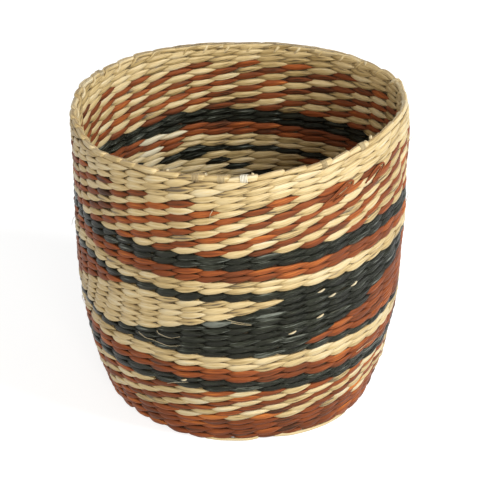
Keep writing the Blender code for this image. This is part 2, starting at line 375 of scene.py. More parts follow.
class Course:
    """One turn of the spiral, with its lens count w as a function of the station.

    The strands cross at whole values of w, and a stake stands at each half. w is counted
    so that the lens that faces the front is 0.5.
    """

    def __init__(self, number):
        self.number = number
        end = start_of(number + 1) + STATIONS
        self.station = np.linspace(start_of(number), end, COURSE_SAMPLES)
        share = smooth_share(number, *SPACING_COURSES)
        foot = np.interp(self.station, SPACING_STATIONS, SPACING_FOOT)
        top = np.interp(self.station, SPACING_STATIONS, SPACING_TOP)
        rate = 1 / (foot + (top - foot) * share)
        front = float(np.interp(number, FRONT_LENS_COURSES, FRONT_LENS_STATIONS))
        self.paired = number < PAIRED_COURSES - BASE_COURSES
        if self.paired:
            rate = rate / 2
        self.rate = rate[0]
        count = np.concatenate([[0], np.cumsum((rate[1:] + rate[:-1]) / 2)])
        count = count * (self.station[1] - self.station[0])
        count = count - np.interp(front, self.station, count) + 0.5
        random = np.random.default_rng(LENS_SEED + number)
        jitter = wander(random, count, count[0], count[-1], LENS_JITTER)
        self.count = count + random.normal(0, COURSE_JITTER) + jitter

    def end_with(self, following):
        """Eases the last lenses, so that each strand runs on as itself in the next course."""
        gap = following.count[0] + 1 - self.count[-1]
        gap -= 2 * round(gap / 2)
        end = self.station[-1]
        self.count = self.count + gap * smooth_share(self.station, end - EASED_STATIONS, end)

    def station_of(self, count):
        """Station at a lens count; past the course's ends it runs on at the usual rate."""
        inside = np.clip(count, self.count[0], self.count[-1])
        return np.interp(inside, self.count, self.station) + (count - inside) / self.rate


def all_courses():
    courses = [Course(number) for number in range(-BASE_COURSES, WALL_COURSES)]
    for course, following in zip(courses, courses[1:]):
        course.end_with(following)
    return courses


# Colours of the weave

# Stations of the colour changes in the wedge zone, for its courses from the lowest up
WEDGE_CHANGES = (
    ((20.5, 21.4, 22.3, 23.1, 24.0, 24.9, 25.8, 26.7), NATURAL),
    ((26.2, 27.2, 28.1, 29.1, 30.3, 31.1, 32.0, 33.2), BLACK),
    ((34.9, 35.4, 36.3, 37.1, 38.0, 39.1, 40.2, 41.0), RUST),
    ((41.0, 42.2, 43.5, 44.8, 46.1, 47.4, 48.7, 50.1), NATURAL),
    ((47.0, 48.0, 49.0, 50.0, 51.0, 52.0, 52.8, 53.6), BLACK),
)
# The black wedge at the back ends in these courses' rust one, past the spiral's start
RUST_FROM_BLACK = (13.0, 14.0, 15.0, 16.0, 17.0, 18.0, 18.8, 19.5)
MIXED_STATIONS = (9.0, 17.0)
# Single passes of another colour or tone, by band: course in the band, stations from and
# to, strand or both, colour, and how much lighter its tone is
BOTH = None
EXCEPTIONS = {
    "rust_upper": (
        (1, 14.2, 15.6, 0, NATURAL, 0.8),
        (1, 13.2, 14.0, 1, NATURAL, 0.5),
    ),
    "natural_upper": (
        (1, 13.2, 15.4, 0, NATURAL, 0.7),
        (1, 13.2, 14.1, 1, RUST, 0.3),
    ),
    "black_line_upper": ((0, 13.2, 15.4, 0, NATURAL, 0.3),),
    "speckled_lower": (
        (0, 30.2, 32.0, 0, RUST, 0.55),
        (0, 32.4, 34.2, 0, RUST, 0.5),
        (1, 35.6, 38.6, 0, RUST, 0.5),
        (4, 36.2, 39.0, 0, RUST, 0.35),
    ),
    "wedge": (
        # The lighter black passes here are painted highlights, glints of gloss on the black leaves
        (1, 32.6, 33.7, BOTH, BLACK, 0.25),
        (2, 30.4, 31.4, BOTH, BLACK, 0.4),
        (3, 29.3, 30.4, BOTH, BLACK, 0.3),
        (4, 30.6, 31.5, BOTH, BLACK, 0.4),
        (5, 31.6, 32.7, BOTH, BLACK, 0.25),
    ),
    "speckled_upper": (
        (6, 34.9, 36.7, 0, RUST, -0.1),
        (7, 35.3, 36.4, 0, RUST, -0.1),
        (7, 36.5, 37.5, 1, NATURAL, 0.1),
        (7, 37.6, 38.9, 0, RUST, 0),
        (7, 24.0, 27.0, 1, RUST, -0.2),
        (7, 30.9, 31.9, 1, NATURAL, 0.1),
        (5, 23.0, 26.0, 1, RUST, -0.25),
    ),
    "natural_top": ((2, 31.2, 32.3, 1, NATURAL, -0.25),),
    "natural_lower": ((1, 31.0, 33.5, 0, NATURAL, 0.1),),
    "black_line_lower": ((0, 29.0, 29.9, 1, NATURAL, -0.2),),
}


def exceptions(course):
    """The exceptions of a course: stations from and to, strand, colour, lighter."""
    if course < 0:
        return []
    band = BAND_OF_COURSE[course]
    row = course - BAND_OF_COURSE.index(band)
    return [case[1:] for case in EXCEPTIONS.get(band, ()) if case[0] == row]


def wedge_colour(course, station, strand):
    row = course - FIRST_WEDGE_COURSE
    colour = BLACK if station < RUST_FROM_BLACK[row] else RUST
    for changes, following in WEDGE_CHANGES:
        if station >= changes[row]:
            colour = following
    mixed = MIXED_STATIONS[0] < station % STATIONS < MIXED_STATIONS[1]
    # Three in five of the black passes there, in no plain order, are natural
    if mixed and colour == BLACK and (3 * row + 7 * strand + round(2 * station)) % 5 > 1:
        colour = NATURAL
    return colour


def strand_colour(course, station, strand):
    """Colour of one pass of a strand over or behind a stake."""
    if course < 0:
        return NATURAL
    for start, end, which, colour, _ in exceptions(course):
        if which in (strand, BOTH) and start <= station < end:
            return colour
    band = BAND_OF_COURSE[course]
    if band == "wedge":
        return wedge_colour(course, station, strand)
    if band == "speckled_upper":
        return RUST if strand else NATURAL
    if band == "speckled_lower":
        return NATURAL if strand else RUST
    if band.startswith("rust"):
        return RUST
    return BLACK if band.startswith("black") else NATURAL


# Meshes from tubes

# Where a tube starts in its cell of the UV map and how much it takes, along and around it
CELL_START = 0.02
CELL_LENGTH = 0.96
ROW_START = 0.04
ROW_LENGTH = 0.92
CAP_PLACE = 0.01
# How many different grains the tubes have
GRAIN_NUMBERS = 997


class Tubes:
    """Closed tubes gathered into one mesh, with what the materials read from it."""

    def __init__(self, cells, columns=1):
        self.columns = columns
        self.rows = math.ceil(cells / columns)
        self.used = 0
        self.points, self.grain, self.tone, self.coords = [], [], [], []
        self.loops, self.sizes, self.colours = [], [], []
        self.total = 0

    def add(self, rings, along, tone, colours, cuts=1):
        """A tube through rings of points.

        along is the length at each ring, tone a number for each ring, colours a material
        for each stretch, and cuts the number of cells that it takes in the UV map.
        """
        count, around = rings.shape[:2]
        first = self.total
        index = first + np.arange(count * around).reshape(count, around)
        low, high = index[:-1], index[1:]
        quads = np.stack([low, np.roll(low, -1, 1), np.roll(high, -1, 1), high], -1)
        per_cell = math.ceil((count - 1) / cuts)
        stretch = np.arange(count - 1)
        cell = self.used + stretch // per_cell
        row = cell // self.columns
        travel = CELL_LENGTH * (stretch % per_cell) / per_cell
        left = (cell % self.columns + CELL_START + travel) / self.columns
        right = left + CELL_LENGTH / per_cell / self.columns
        side = np.arange(around) / around
        v_low = (row[:, None] + ROW_START + ROW_LENGTH * side) / self.rows
        v_high = v_low + ROW_LENGTH / around / self.rows
        left = left[:, None] + 0 * v_low
        right = right[:, None] + 0 * v_low
        corners = [(left, v_low), (left, v_high), (right, v_high), (right, v_low)]
        coords = np.stack([np.stack(corner, -1) for corner in corners], 2)
        self.points.append(rings.reshape(-1, 3))
        grain = np.broadcast_arrays(along[:, None], side, float(first % GRAIN_NUMBERS))
        self.grain.append(np.stack(grain, -1).reshape(-1, 3))
        self.tone.append(np.repeat(tone, around))
        self.loops.append(quads.reshape(-1))
        self.sizes.append(np.full((count - 1) * around, 4))
        self.coords.append(coords.reshape(-1, 2))
        self.colours.append(np.repeat(colours, around))
        for cap, colour in ((index[0][::-1], colours[0]), (index[-1], colours[-1])):
            self.loops.append(cap)
            self.sizes.append(np.array([around]))
            self.coords.append(np.full((around, 2), CAP_PLACE / self.rows))
            self.colours.append(np.array([colour]))
        self.total += count * around
        self.used += cuts

    def add_even(self, rings, along, tone, colour=0):
        """A tube of one tone and one material."""
        self.add(rings, along, np.full(len(rings), tone), np.full(len(rings) - 1, colour))

    def piece(self, name, materials, nodes, slot):
        """The object made of these tubes, in the place of the CAD nodes that it replaces."""

        def fill(target, field, parts, kind=np.float32):
            target.foreach_set(field, np.concatenate(parts).astype(kind).ravel())

        mesh = bpy.data.meshes.new(name)
        sizes = np.concatenate(self.sizes)
        mesh.vertices.add(self.total)
        fill(mesh.vertices, "co", self.points)
        mesh.loops.add(int(sizes.sum()))
        fill(mesh.loops, "vertex_index", self.loops, np.int32)
        mesh.polygons.add(len(sizes))
        fill(mesh.polygons, "loop_start", [[0], np.cumsum(sizes)[:-1]], np.int32)
        for material in materials:
            mesh.materials.append(material)
        fill(mesh.polygons, "material_index", self.colours, np.int32)
        fill(mesh.attributes.new("grain", "FLOAT_VECTOR", "POINT").data, "vector", self.grain)
        fill(mesh.attributes.new("tone", "FLOAT", "POINT").data, "value", self.tone)
        fill(mesh.uv_layers.new(name="OFBake").uv, "vector", self.coords)
        mesh.update(calc_edges=True)
        mesh.shade_smooth()
        piece = new_object(name, mesh)
        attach(piece, "root")
        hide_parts(*nodes)
        return piece


# The strands


def section(half_width, half_depth, points):
    """Offsets of rings of points: the cross-section of a flattened grass strand."""
    angle = ring_angles(points)
    wide, deep = (np.reshape(half, (-1, 1)) for half in (half_width, half_depth))
    return wide * np.cos(angle), deep * np.sin(angle)


def unit(vectors):
    return vectors / np.linalg.norm(vectors, axis=1)[:, None]


def laid(course, station):
    """Reach of the course's middle at these stations, and how far it is packed there."""
    shift = climb(station, course.number)
    top = smooth_share(course.number, *(WALL_COURSES - below for below in LEVEL_COURSES))
    place = course.number + 0.5 + shift - top * np.minimum(shift, 0)
    snug = (course_reach(place + 0.5) - course_reach(place - 0.5)) / USUAL_PITCH
    hidden = smooth_share(place + 0.5, *(WALL_COURSES + above for above in HIDDEN_COURSES))
    return course_reach(place), snug, 1 - HIDDEN_THINNER * hidden


def lengths(rings):
    centre = rings.mean(axis=1)
    steps = np.linalg.norm(np.diff(centre, axis=0), axis=1)
    return np.concatenate([[0], np.cumsum(steps)])


def core(course, number):
    """Rings of one strand's core for a whole course, and its lens counts."""
    start, end = float(course.count[0]), float(course.count[-1])
    count = np.linspace(start, end, math.ceil((end - start) * RINGS_PER_LENS) + 1)
    station = course.station_of(count)
    phase = math.pi * (count - 0.5 + course.number + number)
    reach, snug, flat = laid(course, station)
    thin = 1 - (1 - CORE_THIN_SHARE) * np.abs(np.cos(phase))
    half_width = CORE_HALF_WIDTH * snug * thin
    half_depth = CORE_HALF_DEPTH / thin
    depth = CORE_BULGE * np.cos(phase) * flat
    rise = CORE_RISE * snug * np.sin(phase)
    across, deep = section(half_width, half_depth, CORE_POINTS)
    along = (reach + rise)[:, None] + across
    return placed(station[:, None], along, depth[:, None] + deep), count


def leaf(course, lens, side, half_width, random):
    """Rings and tones of the leaf over one stake; side is 1 outside and -1 inside."""
    share = 0.5 - 0.5 * np.cos(np.linspace(*LEAF_ANGLES, LEAF_RINGS))
    ends = LEAF_ENDS + random.normal(0, LEAF_END_JITTER, 2)
    travel = ends[0] + (ends[1] - ends[0]) * share
    count = lens + travel if side > 0 else lens + 1 - travel
    station = course.station_of(count)
    reach, snug, flat = laid(course, station)
    taper = share**LEAF_TUCKED_POWER * (1 - share) ** LEAF_POINTED_POWER
    taper = taper / taper.max()
    width = half_width * random.normal(1, LEAF_WIDTH_JITTER)
    half_depth = LEAF_HALF_DEPTH * random.normal(1, LEAF_DEPTH_JITTER) * taper**LEAF_DEPTH_POWER
    tuck = LEAF_TUCK * np.clip(1 - share / LEAF_TUCK_ENDS, 0, 1) ** 2
    tuck = tuck + LEAF_TIP_DROP * np.clip(2 * share - 1, 0, 1) ** 2
    depth = side * (HALF_WALL - LEAF_HALF_DEPTH - tuck) * flat
    rise = LEAF_RISE * snug * (2 * share - 1) + random.normal(0, LEAF_RISE_JITTER)
    across, deep = section(width * snug * taper, half_depth, LEAF_POINTS)
    angle = ring_angles(LEAF_POINTS)
    twist = random.uniform(0, 2 * math.pi) + random.normal(0, LEAF_TWIST) * share[:, None]
    deep = deep * (1 + random.normal(0, LEAF_FOLD_SHARE) * np.cos(LEAF_FOLDS * angle + twist))
    along = (reach + rise)[:, None] + across
    rings = placed(station[:, None], along, depth[:, None] + deep)
    tone = np.clip(random.normal(LEAF_TONE, LEAF_TONE_SPREAD), *LEAF_TONE_LIMITS)
    # Painted shade: the tucked end, under the point of the leaf before it, is darker
    tone = tone - TUCKED_PAINTED_SHADE * np.clip(1 - share / TUCKED_SHARE, 0, 1)
    # Painted shade: leaves inside the basket are darker
    if side < 0:
        tone = tone + INSIDE_PAINTED_SHADE
    return rings[::side], tone[::side]


WEDGE_NODES = (
    "outer_natural_wedge_left",
    "outer_black_wedge_front",
    "outer_rust_wedge_right",
    "outer_natural_wedge_right",
    "outer_black_wedge_back",
    "outer_rust_wedge_left",
    "inner_lower_weft",
)


def nodes_and_slot(course):
    """CAD nodes that a course stands for, and a material slot's name for it."""
    if course < 0:
        return ("base_underside", "base_floor"), "natural_seagrass"
    band = BAND_OF_COURSE[course]
    if band == "wedge":
        return WEDGE_NODES, "mixed_seagrass"
    inner = f"inner_{band}" if course > FIRST_WEDGE_COURSE else "inner_lower_weft"
    slots = {"natural": "natural_seagrass", "rust": "rust_seagrass", "black": "charcoal_seagrass"}
    return (f"outer_{band}", inner), slots.get(band.split("_")[0], "mixed_seagrass")


def add_leaves(course, tubes, random):
    """The leaves of a course, outside and inside."""
    first = math.ceil(course.count[0] - 0.5)
    last = math.ceil(course.count[-1] - 0.5)
    for lens in range(first, last):
        station = float(course.station_of(lens + 0.5))
        outer = (lens + course.number) % 2
        for side, number in ((1, outer), (-1, 1 - outer)):
            colour = strand_colour(course.number, station, number)
            rings, tone = leaf(course, lens, side, LEAF_HALF_WIDTHS[colour], random)
            # Exceptions lighten or darken single passes; in the wedge they are painted highlights on
            # black leaves
            for start, end, which, _, lighter in exceptions(course.number):
                if which in (number, BOTH) and start <= station < end:
                    tone = tone + lighter
            if colour == BLACK:
                tone = tone + random.normal(0, BLACK_TONE_SPREAD)
            tubes.add(rings, lengths(rings), tone, np.full(LEAF_RINGS - 1, colour))


def add_weft(courses, materials):
    for course in courses:
        random = np.random.default_rng(LEAF_SEED + course.number)
        lenses = math.ceil(course.count[-1] - course.count[0]) + 1
        tubes = Tubes(2 * (lenses + CORE_CELLS), LEAF_CELL_COLUMNS)
        add_leaves(course, tubes, random)
        for number in (0, 1):
            rings, count = core(course, number)
            lens = np.floor((count[1:] + count[:-1]) / 2)
            stations = course.station_of(lens + 0.5)
            colours = [strand_colour(course.number, station, number) for station in stations]
            # The core's tones are painted shade, dark in the gaps between the leaves
            tone = np.take(CORE_TONES_WITH_PAINTED_SHADE, [*colours, colours[-1]])
            tubes.add(rings, lengths(rings), tone, np.array(colours), cuts=CORE_CELLS)
        nodes, slot = nodes_and_slot(course.number)
        tubes.piece(f"weft_course_{course.number + BASE_COURSES:02d}", materials, nodes, slot)


# The stakes


STAKE_WIDTH_SHARE = 1.04
LOOSE_STAKE_SHARE = 0.86
LOOSE_STAKES = (3, 8, 13, 14)
STAKE_HALF_DEPTH = 0.0010
STAKE_POINTS = 8
STAKE_STEP = 0.004
STAKE_OVERRUN = 0.002
STAKE_CELLS = 48
STAKE_TONE_LIMITS = (0.2, 0.8)
# A line that crosses no more courses than this isn't a stake
TOO_FEW_COURSES = 4


def stake_lines(courses):
    """For every stake, its points: station, reach, and stations to the next stake."""
    single = [course for course in courses if not course.paired]
    first = math.floor(min(course.count[0] for course in single))
    last = math.ceil(max(course.count[-1] for course in single))
    lines = []
    for lens in range(first, last):
        points = []
        for course in single:
            if course.count[0] <= lens + 0.5 < course.count[-1]:
                station = course.station_of(lens + 0.5)
                place = course.number + 0.5 + climb(station, course.number)
                spacing = course.station_of(lens + 1) - course.station_of(lens)
                points.append((station, course_reach(place), spacing))
        if len(points) > TOO_FEW_COURSES:
            lines.append(np.array(points))
    return lines


def add_stakes(courses, material):
    tubes = Tubes(STAKE_CELLS)
    random = np.random.default_rng(STAKE_SEED)
    for number, points in enumerate(stake_lines(courses)):
        share = LOOSE_STAKE_SHARE if number in LOOSE_STAKES else STAKE_WIDTH_SHARE
        reach = np.arange(points[0, 1], SPINE.wall_end + STAKE_OVERRUN, STAKE_STEP)
        station = np.interp(reach, points[:, 1], points[:, 0])
        spacing = np.interp(reach, points[:, 1], points[:, 2])
        width, depth = section(share / 2 * spacing, STAKE_HALF_DEPTH, STAKE_POINTS)
        rings = placed(station[:, None] + width, reach[:, None] + 0 * width, depth)
        tubes.add_even(rings[:, ::-1], reach, random.uniform(*STAKE_TONE_LIMITS))
    tubes.piece("stakes", [material], ("stake_frame",), "stake_grass")


# The border


LAP_POINTS = 12
LAP_RINGS = 34
LAP_HALF_HEIGHT = 0.0022
LAP_HALF_DEPTH = 0.0022
LAP_HEIGHT = WALL_TOP + 0.0034
# A lap's middle line: stakes run on from its own stake, height over the laps' level, depth
LAP_PATH = (
    (-0.35, -0.0050, -0.0004),
    (-0.10, -0.0016, -0.0002),
    (0.15, -0.0007, 0.0001),
    (0.42, -0.0001, 0.0003),
    (0.70, 0.0002, 0.0004),
    (0.92, 0.0003, 0.0003),
    (1.05, 0.0001, -0.0006),
    (1.13, -0.0010, -0.0019),
    (1.22, -0.0027, -0.0025),
    (1.38, -0.0048, -0.0017),
)
# Width of the lap at those points
LAP_WIDTHS = (0.45, 0.72, 0.90, 1.00, 1.05, 1.07, 1.02, 0.82, 0.60, 0.42)
# How much laps differ in width, station, height and tone
LAP_WIDTH_LIMITS = (0.92, 1.08)
LAP_SHIFT_LIMITS = (-0.05, 0.05)
LAP_RISE_LIMITS = (-0.0006, 0.0004)
LAP_TONE_LIMITS = (0.25, 0.7)
# Station and tone of the wraps
WRAPS = (
    *((29.97, 0.25), (30.92, 0.3), (31.75, 1.0), (35.2, 0.2), (37.4, 0.35)),
    *((9.2, 0.1), (17.6, 0.4), (44.3, 0.4), (49.1, 0.3)),
)
WRAP_TURNS = 5
WRAP_THREAD = 0.00036
WRAP_WIDTH_SHARE = 1.05
WRAP_LENGTH = 0.0050
WRAP_DEPTH = 0.0005
WRAP_POINTS = 6
WRAP_RINGS = 20
RIM_STATION = RIM_RADIUS * STEP


def through(values, share):
    """A smooth line through evenly spaced values, read at shares from 0 to 1."""
    values = np.asarray(values, float)
    place = np.clip(share, 0, 1) * (len(values) - 1)
    whole = np.minimum(place.astype(int), len(values) - 2)
    part = place - whole
    padded = np.concatenate([[2 * values[0] - values[1]], values, [2 * values[-1] - values[-2]]])
    before, low, high, after = (padded[whole + shift] for shift in range(4))
    square, cube = part * part, part**3
    return 0.5 * (
        2 * low
        + (high - before) * part
        + (2 * before - 5 * low + 4 * high - after) * square
        + (3 * low - before - 3 * high + after) * cube
    )


def rim_point(station, height, depth):
    """Points near the rim, by their height instead of their reach."""
    reach = np.interp(height, SPINE.height, SPINE.reach)
    reach = reach + np.clip(height - SPINE.height[-1], 0, None)
    return placed(station, reach, depth)


def lap(own, following, random, tubes):
    """One stake end, folded over along the rim and turned down inside."""
    share = np.linspace(0, 1, LAP_RINGS)
    run, rise, depth = (through(column, share) for column in zip(*LAP_PATH))
    wide = through(LAP_WIDTHS, share) * random.uniform(*LAP_WIDTH_LIMITS)
    step = (following - own) % STATIONS
    station = own + run * step + random.uniform(*LAP_SHIFT_LIMITS)
    height = LAP_HEIGHT + rise + random.uniform(*LAP_RISE_LIMITS)
    up, out = section(LAP_HALF_HEIGHT * wide, LAP_HALF_DEPTH * wide, LAP_POINTS)
    rings = rim_point(station[:, None] + 0 * up, height[:, None] + up, depth[:, None] + out)
    tubes.add_even(rings, lengths(rings), random.uniform(*LAP_TONE_LIMITS))


def add_border(courses, natural, thread):
    top = courses[-1]
    lenses = np.arange(math.ceil(top.count[0]), math.floor(top.count[-1]))
    stakes = top.station_of(lenses + 0.5)
    random = np.random.default_rng(LAP_SEED)
    tubes = Tubes(len(stakes))
    for own, following in zip(stakes, [*stakes[1:], stakes[0]]):
        lap(own, following, random, tubes)
    tubes.piece("border_laps", [natural], ("folded_border",), "natural_seagrass")
    wraps = Tubes(len(WRAPS))
    for station, tone in WRAPS:
        add_wrap(station, tone, wraps)
    wraps.piece("border_wraps", [thread], ("folded_border",), "natural_seagrass")


def add_wrap(station, tone, tubes):
    """A thread wound closely round a lap."""
    share = np.linspace(0, 1, WRAP_TURNS * WRAP_RINGS + 1)
    turn = share * WRAP_TURNS * 2 * math.pi
    along = station + (share - 0.5) * WRAP_LENGTH / RIM_STATION
    height = LAP_HEIGHT + (LAP_HALF_HEIGHT + WRAP_THREAD) * np.cos(turn)
    depth = WRAP_DEPTH + (LAP_HALF_DEPTH + WRAP_THREAD) * np.sin(turn)
    wide, thick = section(WRAP_THREAD * WRAP_WIDTH_SHARE, WRAP_THREAD, WRAP_POINTS)
    rings = rim_point(
        along[:, None] + wide / RIM_STATION,
        height[:, None] + thick * np.cos(turn)[:, None],
        depth[:, None] + thick * np.sin(turn)[:, None],
    )
    tubes.add_even(rings, turn * LAP_HALF_DEPTH, tone)


# Splices, cut ends and loose fibres


THREAD_SIDES = 8
OVER_WALL = 0.0004
ON_WALL = HALF_WALL + OVER_WALL
# Paths of the fine details, as stations, heights in mm and depths in mm over the wall
SPLICE_LOOPS = (
    ((35.0, 190, 0), (35.45, 194.5, 0.5), (35.95, 199.5, 0.8), (36.35, 201.5, 0.8),
     (36.55, 200, 0.8), (36.35, 196.5, 0.7), (35.9, 192.8, 0.5), (35.5, 190, -0.4)),
    ((35.4, 192.5, 0), (35.75, 196, 0.6), (36.1, 198.9, 0.9), (36.32, 199.1, 0.9),
     (36.2, 197.1, 0.9), (35.9, 194.8, 0.7), (35.6, 192.5, -0.2)),
    ((37.4, 193.5, -0.2), (37.75, 198.2, 0.5), (38.15, 201.8, 0.8), (38.5, 202.2, 0.8),
     (38.6, 199.5, 0.8), (38.3, 195.5, 0.6), (37.9, 191.5, -0.2)),
    ((37.6, 194.5, -0.2), (37.9, 198, 0.6), (38.2, 200.2, 0.8), (38.37, 199.4, 0.8),
     (38.15, 196, 0.6), (37.85, 192.5, -0.2)),
)
SPLICE_RADIUS = 0.0008
SPLICE_RINGS = 40
SPLICE_ANGLES = (0.3, math.pi - 0.3)
SPLICE_TONE = 0.55
# Station and height in mm of the cut ends, and how far they reach to both sides
CUT_ENDS = ((34.85, 125.5), (35.41, 119.5), (36.6, 121.5), (34.85, 105.5), (33.6, 98), (29.2, 58))
CUT_END_STATIONS = 0.15
CUT_END_RISE = 1.3
CUT_END_DEPTHS = (-0.9, 0.3, 0.5)
CUT_END_RADIUS = 0.00078
CUT_END_TAPER = (0.3, 0.8, 1.0, 0.9, 0.5)
CUT_END_RINGS = 9
CUT_END_TONE = 0.85
FIBRES = (
    ((27.36, 90.5, 0), (27.68, 88, 0.7), (28.06, 88, 0.9), (28.67, 86, 0.8), (29.17, 87.5, 0)),
    ((28.23, 96.5, 0), (28.35, 94.5, 0.6), (28.79, 93, 0.8), (29.2, 95, 0)),
    ((30.98, 113.5, 0), (31.3, 112, 0.6), (31.56, 111, 0.8), (31.97, 109, 0.3)),
    ((35.75, 194.6, 0.4), (35.95, 196.3, 1.0), (36.1, 197.3, 1.0), (36.2, 197.9, 0.6)),
    ((31.2, 110.8, 0), (31.47, 110, 0.6), (31.75, 109.2, 0.7), (31.97, 108, 0.2)),
    ((30.6, 198, 0), (30.52, 195, 0.8), (30.5, 190, 0.6)),
    ((28.4, 51, 0), (28.8, 54.5, 1.0), (29.4, 57, 0.4)),
    ((40.8, 194, 0), (41.3, 197, 1.5), (41.9, 199, 3.2)),
    ((41.2, 150, 0), (41.6, 153, 1.2), (41.9, 154, 3.0)),
    ((2.0, 160, 0), (2.6, 162, 1.5), (3.1, 160, 2.8)),
    ((8.0, 120, 0), (8.7, 124, 1.2), (9.3, 123, 0.4)),
    ((17.0, 180, 0), (17.6, 183, 1.4), (18.1, 181, 2.0)),
    ((20.6, 128, 0), (21.1, 131, 1.3), (21.6, 130, 2.2)),
    ((22.2, 78, 0), (22.8, 80, 1.2), (23.3, 77, 0.6)),
    ((37.0, 62, 0), (37.5, 65, 1.2), (38.1, 64, 0.4)),
)
FIBRE_RADIUS = 0.00022
FIBRE_TAPER = (1.1, 0.5)
FIBRE_RINGS = 30
FIBRE_TONE = 0.8
# The outermost strand of the base, where it comes out from under the foot
EDGE_STRANDS = (
    ((29.8, 5, -1.8), (30.4, 5, -0.3), (31.1, 5, 0), (31.8, 5, -0.2), (32.4, 5, -1.6)),
    ((33.2, 5, -1.6), (34.3, 5, -0.2), (35.4, 5, 0), (36.4, 5, -0.2), (37.6, 5, -1.8)),
)
EDGE_RADIUS = 0.0015
EDGE_RINGS = 40
EDGE_TONE = 0.6
# Stations of the stake ends that stand up inside the rim
RIM_STUBS = (28.8, 30.3, 32.05, 38.2, 4.4, 19.3)
STUB_RADIUS = 0.0011
STUB_HEIGHTS = (HEIGHT - 0.004, HEIGHT + 0.0008)
STUB_LEAN = 0.05
STUB_DEPTH = -0.0012
STUB_RINGS = 5
STUB_TONE = 0.8
MILLIMETRE = 0.001


def thread_rings(line, radius):
    """Rings round a line of points."""
    forward = unit(np.gradient(line, axis=0))
    upward = unit(np.cross(line * (1, 1, 0) + (0, 0, 1e-6), forward))
    outward = np.cross(forward, upward)
    up, out = section(1, 1, THREAD_SIDES)
    around = up[..., None] * upward[:, None] + out[..., None] * outward[:, None]
    return line[:, None] + np.reshape(radius, (-1, 1, 1)) * around


def wall_line(path, count):
    """A smooth line over the wall through a few (station, height, depth) points."""
    share = np.linspace(0, 1, count)
    station, height, depth = (through(column, share) for column in zip(*path))
    return rim_point(station, height * MILLIMETRE, ON_WALL + depth * MILLIMETRE)


def cut_end_path(station, height):
    across = station + CUT_END_STATIONS * np.array((-1, 0, 1))
    heights = height + CUT_END_RISE * np.array((-1, 0, 1))
    return zip(across, heights, CUT_END_DEPTHS)


def stub_line(station):
    heights = np.linspace(*STUB_HEIGHTS, STUB_RINGS)
    across = station + np.linspace(0, STUB_LEAN, STUB_RINGS)
    return rim_point(across, heights, STUB_DEPTH)


def add_details(materials):
    def add(name, node, lines, radius, tone, colour=NATURAL, slot="natural_seagrass"):
        """A piece with a thread along each line, kept off the floor."""
        tubes = Tubes(len(lines))
        for line in lines:
            rings = np.maximum(thread_rings(line, radius), (-np.inf, -np.inf, 0))
            tubes.add_even(rings, lengths(rings), tone, colour)
        tubes.piece(name, materials, (node,), slot)

    lines = [wall_line(path, SPLICE_RINGS) for path in SPLICE_LOOPS]
    swell = np.sin(np.linspace(*SPLICE_ANGLES, SPLICE_RINGS))
    radius = SPLICE_RADIUS * (0.5 + 0.5 * swell)
    add("splice_loops", "outer_speckled_upper", lines, radius, SPLICE_TONE, RUST, "rust_seagrass")
    lines = [wall_line(cut_end_path(*place), CUT_END_RINGS) for place in CUT_ENDS]
    radius = CUT_END_RADIUS * through(CUT_END_TAPER, np.linspace(0, 1, CUT_END_RINGS))
    add("cut_ends", "outer_black_wedge_front", lines, radius, CUT_END_TONE)
    lines = [wall_line(path, FIBRE_RINGS) for path in FIBRES]
    radius = FIBRE_RADIUS * np.linspace(*FIBRE_TAPER, FIBRE_RINGS)
    add("loose_fibres", "outer_natural_lower", lines, radius, FIBRE_TONE)
    lines = [wall_line(path, EDGE_RINGS) for path in EDGE_STRANDS]
    add("base_edge", "base_underside", lines, EDGE_RADIUS, EDGE_TONE)
    lines = [stub_line(station) for station in RIM_STUBS]
    add("rim_stubs", "folded_border", lines, STUB_RADIUS, STUB_TONE)


# The hub


HUB_STRIPS = 9
HUB_SPACING = 0.0060
HUB_HALF_WIDTH = 0.0029
HUB_HALF_DEPTH = 0.0007
HUB_WAVE = 0.0008
HUB_REACH = 0.058
# Where a strip turns to the stakes' directions
HUB_TURN = (0.022, 0.034)
HUB_RINGS = 121
HUB_TONE_LIMITS = (0.3, 0.8)


def hub_line(number):
    """One strip of the hub along X: straight where it is woven, then fanning out."""
    travel = np.linspace(-HUB_REACH, HUB_REACH, HUB_RINGS)
    angle = number * 2 * math.pi / (4 * HUB_STRIPS)
    turned = smooth_share(np.abs(travel), *HUB_TURN)
    x = travel * (1 - turned) + turned * travel * math.cos(angle)
    y = number * HUB_SPACING * (1 - turned) + turned * np.abs(travel) * math.sin(angle)
    woven = np.cos(math.pi * (travel / HUB_SPACING + number)) * (1 - turned)
    return x, y, woven


def add_hub(materials):
    """The middle of the base: two sets of strips woven square, whose ends are the stakes."""
    tubes = Tubes(2 * HUB_STRIPS)
    wide, thick = section(HUB_HALF_WIDTH, HUB_HALF_DEPTH, THREAD_SIDES)
    random = np.random.default_rng(HUB_SEED)
    for crossed in (False, True):
        for number in range(-(HUB_STRIPS // 2), HUB_STRIPS // 2 + 1):
            x, y, woven = hub_line(number)
            if crossed:
                x, y, woven = -y, x, -woven
            line = np.stack([x, y, HALF_WALL + HUB_WAVE * woven], -1)
            forward = np.gradient(line, axis=0)
            sideways = unit(np.stack([-forward[:, 1], forward[:, 0], 0 * x], -1))
            rings = line[:, None] + wide[..., None] * sideways[:, None]
            rings[:, :, 2] += thick
            tubes.add_even(rings, lengths(rings), random.uniform(*HUB_TONE_LIMITS))
    nodes = ("stake_frame", "base_floor", "base_underside")
    tubes.piece("hub_strips", materials, nodes, "stake_grass")


# Materials


# Painted shade along the edges of every strand, for the shade in the grooves between strands
EDGE_PAINTED_SHADE = (0.46, 0.36, 0.24)
EDGE_POWER = 6
# Noise along the strand, for each metre along it and for each turn round it, and its detail
BROAD_FIBRES = (45.0, 7.0, 2.0)
FINE_FIBRES = (60.0, 15.0, 3.0)
FIBRE_CHANGE = 1.7
FIBRE_ROUGHNESS = 0.6
